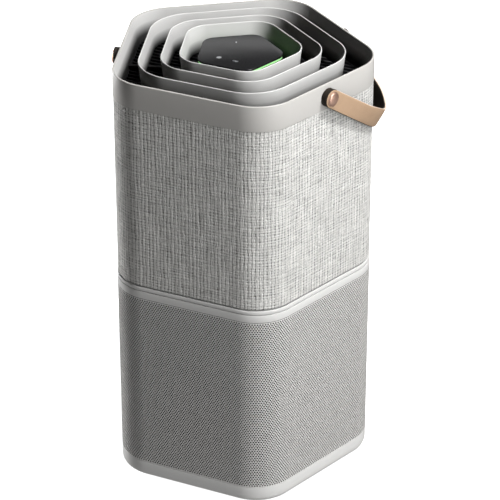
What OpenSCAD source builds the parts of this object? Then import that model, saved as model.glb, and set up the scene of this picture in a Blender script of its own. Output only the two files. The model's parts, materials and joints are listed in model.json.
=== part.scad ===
// Free-standing air purifier: a rounded five-sided tower with a perforated lower skin,
// a fabric-covered upper half, a ringed air outlet with a touch panel, and two strap handles.
// One flat side faces the front (-Y) and one rounded corner faces the back (+Y).

/* [Body plan] */
// Distance from the plan centre to the middle of each flat side
side_apothem = 127.2; // [126.5:0.1:128]
// Radius of the five rounded corners
corner_radius = 47.6; // [46:0.1:49]
// Thickness of the moulded upper shell under the fabric
shell_wall = 2.6; // [2.2:0.1:3]
// Thickness of the woven sleeve
fabric_thickness = 1.4; // [1:0.1:1.5]

/* [Heights] */
// Gap between the floor and the underside of the base ring
foot_height = 8; // [7.5:0.5:10]
// Top of the base ring
base_top = 28.2; // [27.8:0.1:28.6]
// Top of the perforated skin
skin_top = 239.6; // [238:0.1:239.8]
// Top of the plain band above the perforated skin
band_top = 249; // [247:0.1:249.4]
// Top of the narrow lip above the plain band
lip_top = 254; // [253:0.1:254.6]
// Lower edge of the fabric sleeve
fabric_bottom = 256.2; // [255.5:0.1:258]
// Lower edge of the smooth top collar
collar_bottom = 467; // [466.9:0.1:467.1]
// Height of the collar's rim above the floor
rim_top = 496; // [495:0.1:497]

/* [Outlet rings] */
// Inset of the outer ring's top edge from the side of the body
ring_1_inset = 24.6; // [24:0.1:26]
// Inset of the middle ring's top edge
ring_2_inset = 47.5; // [46.5:0.1:48.5]
// Inset of the inner ring's top edge
ring_3_inset = 66.7; // [66:0.1:67.5]
// Rise of each ring above the one outside it
ring_rise = 1.6; // [1:0.1:2]
// Wall thickness of the rings
ring_wall = 1.3; // [1.1:0.1:1.6]
// Distance between the bars of the outlet grille
bar_pitch = 7.5; // [6.5:0.5:9]
// Width of each grille bar
bar_width = 2; // [1.6:0.2:2.4]

/* [Control panel] */
// Height of the touch surface above the floor
panel_top = 493.3; // [492.8:0.1:494]
// Inset of the touch surface from the side of the body
panel_inset = 85.5; // [85:0.1:86]
// Corner radius of the touch surface
panel_radius = 16; // [14:0.5:18]

/* [Handles] */
// Width of the leather strap
strap_width = 20.6; // [19:0.1:21.4]
// Thickness of the leather strap
strap_thickness = 3.2; // [2.6:0.1:3.4]
// Height of the strap's studs above the floor
stud_height = 480.5; // [480:0.1:481.5]
// Drop of the strap from its studs to the lowest part of its loop
strap_drop = 53.5; // [50:0.5:56]
// Gap between the collar and the strap at its studs
stand_off = 4.8; // [4.4:0.1:5]
// Radius of the domed stud
stud_radius = 8; // [7:0.1:8.4]

/* [Filter] */
// Outer radius of the filter's end caps
filter_radius = 98; // [96:0.5:99]
// Number of pleats round the filter
pleat_count = 60; // [40:2:72]

/* [Fan] */
// Outer radius of the impeller
impeller_radius = 88; // [80:0.5:92]
// Number of impeller blades
blade_count = 9; // [7:1:11]
// Inner radius of the air duct round the fan
duct_radius = 112; // [110:0.5:112]
// Radius of the motor shaft
shaft_radius = 4; // [3.9:0.05:4]

/* [Hidden] */

$fn = 96;
side_turn = 72;
half_turn = side_turn / 2;
first_corner = -126;
arc_steps = 12;
gap = 0.2;

// The plan centre lies behind the middle of the front-to-back depth, so it is moved forward
// by half the difference and the origin falls in the middle of the plan's box.
corner_reach = (side_apothem - corner_radius) / cos(half_turn) + corner_radius;
plan_y = -(corner_reach - side_apothem) / 2;

skin_wall = 1.2;
cage_wall = 3.8;
cage_inset = skin_wall + gap;
door_cut_y = 73.5;
door_gap = 0.35;
skin_bottom = base_top + door_gap;
band_bottom = skin_top + 0.4;

plate_bottom = base_top - 5.2;
plate_top = base_top;
deck_bottom = skin_top + 0.6;
deck_top = deck_bottom + 4;
deck_inset = 4.6;
inlet_mouth_radius = 66;
bell_top = 253.5;

fabric_inset = 0.4;
shell_inset = fabric_inset + fabric_thickness;
shell_top = collar_bottom - gap;

spider_bottom = collar_bottom + gap;
spider_top = spider_bottom + 3.8;
ring_bottom = spider_top + gap;
ring_lean = 3;
collar_lean = 5.2;
rim_wall = 2.4;

housing_inset = panel_inset + 1.7;
housing_wall = 2.2;
panel_thickness = 2;
glow_height = 2.5;

foot_radius = 12;
foot_circle = 112;
inlet_back = 105;
inlet_mouth = side_apothem - 5.6;
inlet_low = foot_height + 0.6;
inlet_high = plate_bottom - gap;
inlet_mid = (inlet_low + inlet_high) / 2;
inlet_pitch = 8.6;

media_bottom = 34;
media_top = 229;
filter_floor = plate_top + 0.4;
filter_lid = 235;

shroud_bottom = 255.5;
shroud_top = 258;
blade_top = 300;
back_plate_top = 302.5;
mount_bottom = 305.5;
mount_top = 309.5;
motor_radius = 38;
motor_top = 345;
bearing_radius = 9;
fit = 0.05;

strap_straight = (side_apothem - corner_radius) * tan(half_turn);
strap_half = strap_straight + corner_radius * half_turn * PI / 180;
bend_share = 0.2;
fall_slope = 1 / (1 - bend_share / 2);
loop_stand_top = 11.7;
loop_stand_low = 1.2;

// Outline points of the body's plan, moved in by an inset, with its own corner radius.
function plan_points(inset, radius) = [
    for (k = [0:4])
        for (i = [0:arc_steps])
            let (centre = first_corner + side_turn * k)
            let (turn = centre - half_turn + side_turn * i / arc_steps)
            let (reach = (side_apothem - inset - radius) / cos(half_turn))
            [reach * cos(centre) + radius * cos(turn),
             plan_y + reach * sin(centre) + radius * sin(turn)]
];

// Corner radius that keeps an inset outline parallel to the outside of the body.
function parallel_radius(inset) = corner_radius - inset;

module on_axis() {
    translate([0, plan_y, 0]) children();
}

module plan(inset) {
    polygon(plan_points(inset, parallel_radius(inset)));
}

module plan_slab(inset, low, high) {
    translate([0, 0, low]) linear_extrude(high - low) plan(inset);
}

module plan_wall(inset, wall, low, high) {
    translate([0, 0, low]) linear_extrude(high - low) difference() {
        plan(inset);
        plan(inset + wall);
    }
}

// A closed profile of [inset, height, corner radius] points carried round the plan.
module plan_sweep(profile) {
    side = 5 * (arc_steps + 1);
    count = len(profile);
    points = [
        for (p = profile)
            for (q = plan_points(p[0], p[2]))
                [q[0], q[1], p[1]]
    ];
    faces = [
        for (j = [0:count - 1])
            for (i = [0:side - 1])
                let (a = j * side, b = ((j + 1) % count) * side, n = (i + 1) % side)
                [a + i, a + n, b + n, b + i]
    ];
    polyhedron(points = points, faces = faces, convexity = 6);
}

// Copies a child to the middle of one side, with +X pointing out of that side.
module on_side(k) {
    on_axis() rotate([0, 0, first_corner + half_turn + side_turn * k]) children();
}

// Copies a child to one corner's direction, with +X pointing out of that corner.
module on_corner(k) {
    on_axis() rotate([0, 0, first_corner + side_turn * k]) children();
}

module tube(outer, inner, low, high) {
    on_axis() translate([0, 0, low]) difference() {
        cylinder(r = outer, h = high - low);
        translate([0, 0, -1]) cylinder(r = inner, h = high - low + 2);
    }
}

// ---- Base ----

module base_ring() {
    edge = 8;
    low = foot_height;
    flange = 14;
    color([0.83, 0.82, 0.80]) difference() {
        plan_sweep([
            [0, base_top, corner_radius],
            [0, low + edge, corner_radius],
            for (a = [22.5, 45, 67.5])
                [edge * (1 - cos(a)), low + edge * (1 - sin(a)), parallel_radius(edge * (1 - cos(a)))],
            [edge, low, parallel_radius(edge)],
            [flange, low, parallel_radius(flange)],
            [flange, low + 2.5, parallel_radius(flange)],
            [edge + 1, low + 2.5, parallel_radius(edge + 1)],
            [3, low + edge + 1, parallel_radius(3)],
            [3, base_top, parallel_radius(3)]
        ]);
        inlet_window();
    }
}

// Space for the power inlet in the middle of the rear-left side.
module inlet_window() {
    on_side(3) translate([inlet_back, -12.3, foot_height - 1])
        cube([30, 24.6, plate_bottom - foot_height + 1]);
}

module base_plate() {
    rail_x = filter_radius + 1;
    color([0.25, 0.25, 0.26]) difference() {
        union() {
            plan_slab(3.3, plate_bottom, plate_top);
            for (k = [0:4])
                on_corner(k) translate([foot_circle, 0, foot_height])
                    cylinder(r = 11, h = plate_bottom - foot_height + 0.5);
            for (side = [-1, 1])
                on_axis() translate([side * (rail_x + 1.5) - 1.5, -40, plate_top - 0.5])
                    cube([3, 95, 8.5]);
        }
        for (k = [0:4])
            on_corner(k) translate([foot_circle, 0, foot_height - 1]) cylinder(r = 2, h = 11);
    }
}

module foot(k) {
    on_corner(k) translate([foot_circle, 0, 0]) rotate_extrude() {
        polygon([
            [5, 0], [foot_radius - 1.5, 0], [foot_radius, 1.5], [foot_radius, foot_height - gap],
            [2.2, foot_height - gap], [2.2, 5.5], [5, 5.5]
        ]);
    }
}

module foot_front_left() {
    color([0.12, 0.12, 0.12]) foot(0);
}

module foot_front_right() {
    color([0.12, 0.12, 0.12]) foot(1);
}

module foot_right() {
    color([0.12, 0.12, 0.12]) foot(2);
}

module foot_back() {
    color([0.12, 0.12, 0.12]) foot(3);
}

module foot_left() {
    color([0.12, 0.12, 0.12]) foot(4);
}

module foot_screws() {
    color([0.7, 0.7, 0.72])
        for (k = [0:4])
            on_corner(k) translate([foot_circle, 0, 0]) {
                translate([0, 0, 3.2]) cylinder(r = 4, h = 2.2);
                translate([0, 0, 5.3]) cylinder(r = 1.9, h = foot_height + 3);
            }
}

// ---- Lower skin and its cage ----

// The part of the plan behind the cut is the removable door; the rest is fixed.
module keep_front(low, high) {
    intersection() {
        children();
        on_axis() translate([-200, -200, low - 1])
            cube([400, 200 + door_cut_y - door_gap / 2, high - low + 2]);
    }
}

module keep_back(low, high) {
    intersection() {
        children();
        on_axis() translate([-200, door_cut_y + door_gap / 2, low - 1])
            cube([400, 200, high - low + 2]);
    }
}

module front_skin() {
    color([0.80, 0.79, 0.77]) keep_front(skin_bottom, skin_top)
        plan_wall(0, skin_wall, skin_bottom, skin_top);
}

// Openings behind the perforated sheet, two rows high, in one side of a cage.
module side_windows(k, from, to) {
    rib = 6;
    rail = 8;
    high = (skin_top - skin_bottom - 3 * rail) / 2;
    wide = (to - from - rib) / 2;
    low = skin_bottom + rail;
    for (r = [0, 1])
        for (c = [0, 1])
            on_side(k)
                translate([side_apothem - 12, from + c * (wide + rib), low + r * (high + rail)])
                    cube([20, wide, high]);
}

module front_cage() {
    color([0.22, 0.22, 0.23]) keep_front(skin_bottom, skin_top) difference() {
        plan_wall(cage_inset, cage_wall, skin_bottom, skin_top);
        side_windows(0, -50, 50);
        side_windows(1, -50, 50);
        side_windows(4, -50, 50);
    }
}

module door_skin() {
    color([0.80, 0.79, 0.77]) keep_back(skin_bottom, skin_top)
        plan_wall(0, skin_wall, skin_bottom, skin_top);
}

module door_frame() {
    color([0.22, 0.22, 0.23]) keep_back(skin_bottom, skin_top) difference() {
        plan_wall(cage_inset, cage_wall, skin_bottom, skin_top);
        side_windows(2, -36, 50);
        side_windows(3, -50, 36);
        for (k = [0:3])
            magnet_place(k) translate([-3, -4.3, -3.1]) cube([6, 8.6, 4]);
    }
}

// Four magnets let into the top edge of the door frame, facing the fan deck.
module magnet_place(k) {
    side = k < 2 ? 2 : 3;
    along = [-34, 40, -40, 34][k];
    on_side(side) translate([side_apothem - cage_inset - cage_wall / 2, along, skin_top]) children();
}

module door_magnets() {
    color([0.7, 0.7, 0.72])
        for (k = [0:3])
            magnet_place(k) translate([-1.5, -4, -2.9]) cube([3, 8, 2.8]);
}

// ---- Bands at the waist ----

module mid_band() {
    color([0.82, 0.81, 0.79]) plan_wall(0, 4.2, band_bottom, band_top);
}

module seam_lip() {
    color([0.84, 0.83, 0.81]) plan_wall(0, 1.7, band_top + 0.8, lip_top);
}

module seam_gasket() {
    color([0.10, 0.10, 0.10]) plan_wall(1.9, 2.2, band_top + 0.1, fabric_bottom - 0.1);
}

module fan_deck() {
    color([0.25, 0.25, 0.26]) difference() {
        union() {
            plan_slab(deck_inset, deck_bottom, deck_top);
            on_axis() translate([0, 0, deck_top - 0.5])
                cylinder(r = inlet_mouth_radius + 6, h = bell_top - deck_top + 0.5);
        }
        on_axis() translate([0, 0, deck_bottom]) rotate_extrude() {
            difference() {
                translate([0, -1]) square([inlet_mouth_radius + 8, bell_top - deck_bottom + 2]);
                translate([inlet_mouth_radius + 8, 8]) circle(r = 8);
                translate([inlet_mouth_radius, 8]) square([9, 10]);
            }
        }
    }
}

module fan_guard() {
    color([0.15, 0.15, 0.15]) on_axis() translate([0, 0, deck_bottom + 7.5]) linear_extrude(1.8) {
        for (r = [8, 22, 36, 50])
            difference() {
                circle(r = r + 1.2);
                circle(r = r - 1.2);
            }
        for (k = [0:5])
            rotate([0, 0, 60 * k]) translate([8, -1.2]) square([inlet_mouth_radius - 0.2 - 8, 2.4]);
    }
}

// ---- Upper body ----

module upper_shell() {
    color([0.55, 0.55, 0.55]) plan_wall(shell_inset, shell_wall, fabric_bottom, shell_top);
}

module fabric_sleeve() {
    color([0.78, 0.78, 0.77]) plan_wall(fabric_inset, fabric_thickness - 0.1, fabric_bottom, shell_top);
}

module top_collar() {
    foot_inset = rim_wall + collar_lean;
    color([0.83, 0.82, 0.80]) difference() {
        plan_sweep([
            [foot_inset, collar_bottom, parallel_radius(foot_inset)],
            [0, collar_bottom, corner_radius],
            [0, rim_top - 0.9, corner_radius],
            [0.3, rim_top - 0.3, parallel_radius(0.3)],
            [0.9, rim_top, parallel_radius(0.9)],
            [rim_wall - 0.9, rim_top, parallel_radius(rim_wall - 0.9)],
            [rim_wall - 0.3, rim_top - 0.3, parallel_radius(rim_wall - 0.3)],
            [rim_wall, rim_top - 0.9, parallel_radius(rim_wall)]
        ]);
        for (k = [1:4])
            stud_axis(k) translate([-4, 0, 0]) rotate([0, 90, 0]) cylinder(r = 2.7, h = 10);
    }
}

// One outlet ring: a thin wall that leans inward towards its foot.
module outlet_ring(inset, radius, top) {
    w = ring_wall;
    round = 0.35;
    lean = ring_lean * (top - ring_bottom) / 27;
    plan_sweep([
        [inset + lean, ring_bottom, radius - lean],
        [inset, top - round, radius],
        [inset + round, top, radius - round],
        [inset + w - round, top, radius - w + round],
        [inset + w, top - round, radius - w],
        [inset + w + lean, ring_bottom, radius - w - lean]
    ]);
}

module outlet_ring_1() {
    color([0.82, 0.81, 0.80]) outlet_ring(ring_1_inset, 49.5, rim_top + ring_rise);
}

module outlet_ring_2() {
    color([0.82, 0.81, 0.80]) outlet_ring(ring_2_inset, 37.6, rim_top + 2 * ring_rise);
}

module outlet_ring_3() {
    color([0.82, 0.81, 0.80]) outlet_ring(ring_3_inset, 28.1, rim_top + 3 * ring_rise);
}

// The arms that carry the rings and the panel housing across the outlet.
module ring_spider() {
    color([0.10, 0.10, 0.10]) translate([0, 0, spider_bottom])
        linear_extrude(spider_top - spider_bottom) {
            intersection() {
                plan(rim_wall + collar_lean + gap);
                union()
                    for (k = [0:4])
                        translate([0, plan_y]) rotate(first_corner + half_turn + side_turn * k)
                            translate([20, -2]) square([side_apothem, 4]);
            }
            polygon(plan_points(housing_inset - 3, panel_radius + 3));
        }
}

module outlet_grille() {
    low = shell_top - 4.4;
    frame_inset = shell_inset + shell_wall + gap;
    count = floor(corner_reach * 2 / bar_pitch);
    color([0.06, 0.06, 0.06]) translate([0, 0, low]) linear_extrude(4.2) {
        difference() {
            plan(frame_inset);
            plan(frame_inset + 4);
        }
        intersection() {
            plan(frame_inset + 1);
            union()
                for (i = [0:count])
                    translate([-side_apothem * 1.2, -side_apothem + i * bar_pitch])
                        square([side_apothem * 2.4, bar_width]);
        }
    }
}

module panel_housing() {
    low = spider_top + gap;
    high = panel_top - panel_thickness - glow_height - 2 * gap;
    color([0.16, 0.16, 0.17]) difference() {
        translate([0, 0, low]) linear_extrude(high - low)
            polygon(plan_points(housing_inset, panel_radius));
        translate([0, 0, spider_top + 2.2]) linear_extrude(40)
            polygon(plan_points(housing_inset + housing_wall, panel_radius - housing_wall));
    }
}

module control_panel() {
    color([0.12, 0.12, 0.13]) translate([0, 0, panel_top - panel_thickness])
        linear_extrude(panel_thickness) polygon(plan_points(panel_inset, panel_radius));
}

module light_ring() {
    inset = panel_inset + 0.6;
    color([0.45, 0.80, 0.45]) translate([0, 0, panel_top - panel_thickness - glow_height])
        linear_extrude(glow_height - gap) difference() {
            polygon(plan_points(inset, panel_radius));
            polygon(plan_points(inset + 3.4, panel_radius - 3.4));
        }
}

module touch_board() {
    inset = housing_inset + housing_wall + 0.4;
    color([0.05, 0.25, 0.12]) translate([0, 0, panel_top - 7.4]) linear_extrude(1.6)
        polygon(plan_points(inset, panel_radius - 3));
}

module leds() {
    reach = side_apothem - housing_inset - housing_wall - 4;
    color([0.95, 0.95, 0.85])
        for (k = [0:4])
            for (along = [-11, 11])
                on_side(k) translate([reach - 1.5, along - 1.5, panel_top - 5.7]) cube([3, 3, 1.4]);
}

// ---- Fan ----

module fan_duct() {
    wall = 2;
    low = deck_top + gap;
    high = 452;
    fin_start = duct_radius + wall - 0.3;
    fin_end = side_apothem - shell_inset - shell_wall - gap;
    color([0.30, 0.30, 0.31]) {
        tube(duct_radius + wall, duct_radius, low, high);
        for (k = [0:4])
            on_side(k) translate([fin_start, -1.2, low + 14])
                cube([fin_end - fin_start, 2.4, high - low - 30]);
    }
}

module motor_mount() {
    thick = mount_top - mount_bottom;
    color([0.30, 0.30, 0.31]) difference() {
        union() {
            on_axis() translate([0, 0, mount_bottom]) cylinder(r = motor_radius + 2, h = thick);
            for (k = [0:4])
                on_corner(k) translate([motor_radius, -6, mount_bottom])
                    cube([duct_radius - motor_radius - gap, 12, thick]);
        }
        on_axis() translate([0, 0, mount_bottom - 1]) cylinder(r = bearing_radius + fit, h = 10);
    }
}

module motor_housing() {
    color([0.62, 0.63, 0.65]) tube(motor_radius, motor_radius - 2.5, mount_top + 0.1, motor_top);
}

module motor_cap() {
    color([0.62, 0.63, 0.65]) tube(motor_radius, bearing_radius + fit, motor_top + 0.1, motor_top + 4.4);
}

module motor_stator() {
    color([0.72, 0.42, 0.20]) difference() {
        tube(motor_radius - 2.7, 19, mount_top + 6, motor_top - 6);
        for (k = [0:11])
            on_axis() rotate([0, 0, 30 * k]) translate([18, -1, mount_top + 5]) cube([11, 2, 40]);
    }
}

module bearings() {
    color([0.75, 0.76, 0.78]) {
        tube(bearing_radius, shaft_radius + fit, mount_bottom, mount_top);
        tube(bearing_radius, shaft_radius + fit, motor_top + 0.2, motor_top + 4.3);
    }
}

module motor_shaft() {
    color([0.80, 0.81, 0.82]) on_axis() translate([0, 0, 272]) cylinder(r = shaft_radius, h = 80);
}

module motor_rotor() {
    color([0.30, 0.30, 0.33]) tube(18, shaft_radius + fit, mount_top + 7, motor_top - 7);
}

// One blade's plan: an arc swept backward from its inner end to the rim.
function blade_edge(side) = [
    for (i = [0:6])
        let (inner = 52, sweep = 42, set = 40)
        let (r = inner + (impeller_radius - 2 - inner) * i / 6, turn = -sweep * pow(i / 6, 0.9))
        [r * cos(turn) - side * sin(turn - set), r * sin(turn) + side * cos(turn - set)]
];

function blade_outline() = concat(blade_edge(-1), [for (i = [6:-1:0]) blade_edge(1)[i]]);

module impeller() {
    color([0.20, 0.21, 0.22]) {
        on_axis() difference() {
            union() {
                translate([0, 0, blade_top]) cylinder(r = impeller_radius, h = back_plate_top - blade_top);
                translate([0, 0, 286]) cylinder(r = 12, h = blade_top - 285);
            }
            translate([0, 0, 280]) cylinder(r = shaft_radius + fit, h = 30);
        }
        tube(impeller_radius, inlet_mouth_radius + 1, shroud_bottom, shroud_top);
        for (k = [0:blade_count - 1])
            on_axis() translate([0, 0, shroud_top - 0.5]) rotate([0, 0, 360 * k / blade_count])
                linear_extrude(blade_top - shroud_top + 1) polygon(blade_outline());
    }
}

module impeller_nut() {
    color([0.72, 0.60, 0.30]) on_axis() translate([0, 0, 279]) difference() {
        cylinder(r = 8, h = 6.8, $fn = 6);
        translate([0, 0, -1]) cylinder(r = shaft_radius + fit, h = 9);
    }
}

module diffuser() {
    low = motor_top + 6;
    color([0.30, 0.30, 0.31]) {
        tube(46, 44, low, 440);
        for (k = [0:9])
            on_corner(k / 2) translate([45.5, -1, low + 5]) cube([duct_radius - 0.3 - 45.5, 2, 60]);
    }
}

// ---- Electronics ----

module main_board() {
    color([0.05, 0.25, 0.12]) on_corner(3) translate([118, -29, 270]) cube([1.6, 58, 110]);
}

module board_parts() {
    face = 119.7;
    color([0.15, 0.15, 0.16]) on_corner(3) {
        translate([face, -16, 276]) cube([14, 30, 26]);
        translate([face, -15, 312]) cube([10, 12, 12]);
        for (i = [0:2])
            translate([face, 6, 316 + 14 * i]) rotate([0, 90, 0]) cylinder(r = 5, h = 12);
        translate([face, -18, 336]) cube([6, 16, 16]);
        translate([face, -14, 362]) cube([5, 26, 7]);
    }
}

module sensor_module() {
    color([0.35, 0.36, 0.38]) on_corner(4) translate([117, -18, 300]) difference() {
        cube([17, 36, 46]);
        translate([15, 18, 15]) rotate([0, 90, 0]) cylinder(r = 7, h = 4);
        translate([15, 8, 32]) cube([4, 20, 6]);
    }
}

module power_inlet() {
    back = inlet_back + 0.3;
    color([0.08, 0.08, 0.08]) on_side(3) difference() {
        translate([back, -12, inlet_low]) cube([inlet_mouth - back, 24, inlet_high - inlet_low]);
        for (side = [-1, 1])
            translate([inlet_mouth - 14, side * inlet_pitch / 2, inlet_mid]) rotate([0, 90, 0])
                cylinder(r = 4.4, h = 20);
    }
}

module inlet_pins() {
    color([0.80, 0.81, 0.82]) on_side(3)
        for (side = [-1, 1])
            translate([inlet_mouth - 13.9, side * inlet_pitch / 2, inlet_mid]) rotate([0, 90, 0])
                cylinder(r = 1.2, h = 11);
}

// ---- Handles ----

// Places a child at a stud, with +X pointing out of that side from its surface.
module stud_axis(k) {
    on_side(k) translate([side_apothem, 0, stud_height]) children();
}

module studs() {
    outer = stand_off + strap_thickness + 0.1;
    dome_height = 3;
    dome_radius = (stud_radius * stud_radius + dome_height * dome_height) / (2 * dome_height);
    color([0.80, 0.52, 0.40])
        for (k = [1:4])
            stud_axis(k) rotate([0, 90, 0]) rotate_extrude() {
                translate([0, -3.5]) square([2.5, outer + 4]);
                translate([0, outer]) intersection() {
                    translate([0, dome_height - dome_radius]) circle(r = dome_radius);
                    square([stud_radius, dome_height]);
                }
            }
}

module strap_pads() {
    color([0.13, 0.09, 0.06])
        for (k = [1:4])
            stud_axis(k) rotate([0, 90, 0]) translate([0, 0, 0.15]) difference() {
                cylinder(r = strap_width / 2 - 0.2, h = stand_off - 0.35);
                translate([0, 0, -1]) cylinder(r = 2.7, h = 10);
            }
}

// The strap runs from a stud in the middle of one side, down and round a corner, and up to
// the stud in the middle of the next side. Lengths along it are measured round the plan.

// Height of the strap's centreline, from 0 at the loop's lowest point to 1 at a stud.
function fall(w) = w < bend_share ? fall_slope * w * w / (2 * bend_share) : fall_slope * (w - bend_share / 2);
function fall_rate(w) = w < bend_share ? fall_slope * w / bend_share : fall_slope;

// How far the flare of the loop has grown, from 0 at the studs to 1 at the corner.
function flare(w) = w > 0.8 ? 0 : (1 + cos(180 * w / 0.8)) / 2;

// A point at plan length q from the stud, standing off the body by d, at height z.
function strap_point(q, d, z) =
    let (bend = q - strap_straight)
    let (arc = 2 * corner_radius * half_turn * PI / 180)
    let (turn = bend < 0 ? -half_turn : bend > arc ? half_turn : -half_turn + bend / corner_radius * 180 / PI)
    let (past = bend < 0 ? bend : bend > arc ? bend - arc : 0)
    let (r = corner_radius + d, c = corner_reach - corner_radius)
    [c + r * cos(turn) - past * sin(turn), r * sin(turn) + past * cos(turn), z];

// One cross-section of the strap at share t, from -1 at one stud to 1 at the other.
function strap_section(t, extra, half_width) =
    let (w = abs(t), side = t < 0 ? -1 : 1)
    let (lean = atan(fall_rate(w) * strap_drop / strap_half))
    let (q0 = strap_half * (1 + t) + side * extra * cos(lean))
    let (z0 = stud_height - strap_drop * (1 - fall(w)) + extra * sin(lean))
    [
        for (corner = [[-1, 0], [-1, 1], [1, 1], [1, 0]])
            let (v = corner[0] * half_width)
            let (stand = stand_off + flare(w) * (
                loop_stand_low - stand_off + (loop_stand_top - loop_stand_low) * (v / strap_width + 0.5)))
            strap_point(q0 - side * v * sin(lean), stand + corner[1] * strap_thickness, z0 + v * cos(lean))
    ];

module strap(k) {
    r = strap_width / 2;
    tip = [for (a = [8:16.4:90]) [r * cos(a), r * sin(a)]];
    run = 36;
    sections = concat(
        [for (p = tip) strap_section(-1, p[0], p[1])],
        [for (i = [0:run]) strap_section(-1 + 2 * i / run, 0, r)],
        [for (i = [len(tip) - 1:-1:0]) strap_section(1, tip[i][0], tip[i][1])]
    );
    count = len(sections);
    sides = [
        for (j = [0:count - 2])
            for (i = [0:3])
                let (a = 4 * j + i, b = 4 * j + (i + 1) % 4)
                for (f = [[a, b, b + 4], [a, b + 4, a + 4]]) f
    ];
    last = 4 * (count - 1);
    ends = [[3, 2, 1], [3, 1, 0], [last, last + 1, last + 2], [last, last + 2, last + 3]];
    points = [for (s = sections) for (p = s) p];
    difference() {
        on_corner(k) polyhedron(points = points, faces = concat(sides, ends), convexity = 6);
        for (s = [k - 1, k])
            stud_axis(s) rotate([0, 90, 0]) cylinder(r = 2.8, h = 20);
    }
}

module strap_right() {
    color([0.78, 0.64, 0.50]) strap(2);
}

module strap_left() {
    color([0.78, 0.64, 0.50]) strap(4);
}

// ---- Filter ----

module filter_media() {
    count = pleat_count;
    color([0.93, 0.93, 0.90]) on_axis() translate([0, 0, media_bottom])
        linear_extrude(media_top - media_bottom) difference() {
            polygon([
                for (i = [0:2 * count - 1])
                    let (r = i % 2 == 0 ? filter_radius - 4 : filter_radius - 14)
                    [r * cos(180 * i / count), r * sin(180 * i / count)]
            ]);
            circle(r = filter_radius - 22);
        }
}

module filter_cage() {
    row = (media_top - media_bottom - 16) / 3;
    color([0.85, 0.86, 0.86]) difference() {
        tube(filter_radius - 0.6, filter_radius - 3, media_bottom, media_top);
        for (k = [0:9])
            for (r = [0:2])
                on_axis() rotate([0, 0, 36 * k + 18])
                    translate([filter_radius - 12, -26, media_bottom + 4 + r * (row + 4)])
                        cube([20, 52, row]);
    }
}

module filter_carbon() {
    color([0.10, 0.10, 0.10]) tube(filter_radius - 22.3, filter_radius - 27, media_bottom, media_top);
}

module filter_top() {
    color([0.75, 0.77, 0.78]) tube(filter_radius, filter_radius - 28, media_top + 0.1, filter_lid);
}

module filter_bottom() {
    color([0.75, 0.77, 0.78]) on_axis() translate([0, 0, filter_floor])
        cylinder(r = filter_radius, h = media_bottom - 0.1 - filter_floor);
}

module filter_gasket() {
    color([0.15, 0.15, 0.15])
        tube(filter_radius - 6, filter_radius - 18, filter_lid + 0.1, deck_bottom - 0.8);
}

module filter_tab() {
    color([0.20, 0.45, 0.70]) on_axis() translate([-11, filter_radius + 0.3, 120]) difference() {
        cube([22, 1.4, 46]);
        translate([5, -1, 6]) cube([12, 4, 12]);
    }
}

base_ring();
base_plate();
foot_front_left();
foot_front_right();
foot_right();
foot_back();
foot_left();
foot_screws();
front_skin();
front_cage();
mid_band();
seam_lip();
seam_gasket();
fan_deck();
fan_guard();
upper_shell();
fabric_sleeve();
top_collar();
outlet_ring_1();
outlet_ring_2();
outlet_ring_3();
ring_spider();
outlet_grille();
panel_housing();
control_panel();
light_ring();
touch_board();
leds();
fan_duct();
motor_mount();
motor_housing();
motor_cap();
motor_stator();
bearings();
motor_shaft();
motor_rotor();
impeller();
impeller_nut();
diffuser();
main_board();
board_parts();
sensor_module();
power_inlet();
inlet_pins();
studs();
strap_pads();
strap_right();
strap_left();
door_skin();
door_frame();
door_magnets();
filter_media();
filter_cage();
filter_carbon();
filter_top();
filter_bottom();
filter_gasket();
filter_tab();
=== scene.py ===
"""Looks of the five-sided tower air purifier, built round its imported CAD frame.

All lengths are in metres, in the row frame: the floor is z = 0, -Y is the front side and
+Y the back corner. The plan is a pentagon with rounded corners, and "station" means the
distance round its outside, counterclockwise, from the middle of the front side.
"""

import json
import math

import bpy
import numpy as np
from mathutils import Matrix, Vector

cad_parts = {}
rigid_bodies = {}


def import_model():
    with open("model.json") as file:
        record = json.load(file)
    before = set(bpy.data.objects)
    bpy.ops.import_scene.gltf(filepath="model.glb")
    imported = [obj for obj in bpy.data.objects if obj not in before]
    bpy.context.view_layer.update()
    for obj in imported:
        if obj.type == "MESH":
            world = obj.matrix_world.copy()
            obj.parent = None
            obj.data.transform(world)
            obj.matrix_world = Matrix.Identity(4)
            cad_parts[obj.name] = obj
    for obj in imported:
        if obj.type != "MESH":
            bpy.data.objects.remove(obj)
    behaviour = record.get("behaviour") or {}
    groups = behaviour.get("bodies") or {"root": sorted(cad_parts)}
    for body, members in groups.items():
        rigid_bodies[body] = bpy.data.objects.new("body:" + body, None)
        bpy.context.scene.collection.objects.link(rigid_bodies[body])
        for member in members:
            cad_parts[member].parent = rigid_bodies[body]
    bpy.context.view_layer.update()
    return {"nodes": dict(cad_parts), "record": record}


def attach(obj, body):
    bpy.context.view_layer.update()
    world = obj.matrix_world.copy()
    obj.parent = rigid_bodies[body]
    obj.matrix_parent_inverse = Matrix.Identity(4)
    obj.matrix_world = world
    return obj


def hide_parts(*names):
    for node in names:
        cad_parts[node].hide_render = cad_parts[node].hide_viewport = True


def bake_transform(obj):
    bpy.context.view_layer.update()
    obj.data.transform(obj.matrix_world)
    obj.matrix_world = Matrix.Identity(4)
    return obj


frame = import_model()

MM = 0.001

# ---- Sizes that the CAD part is drawn to ----

APOTHEM = 127.2 * MM  # from the plan's middle to a flat side
CORNER = 47.6 * MM  # radius of a rounded corner
HALF_TURN = math.radians(36)
TURN = 2 * HALF_TURN
FRONT = math.radians(-90)
CORNER_REACH = (APOTHEM - CORNER) / math.cos(HALF_TURN) + CORNER
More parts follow.
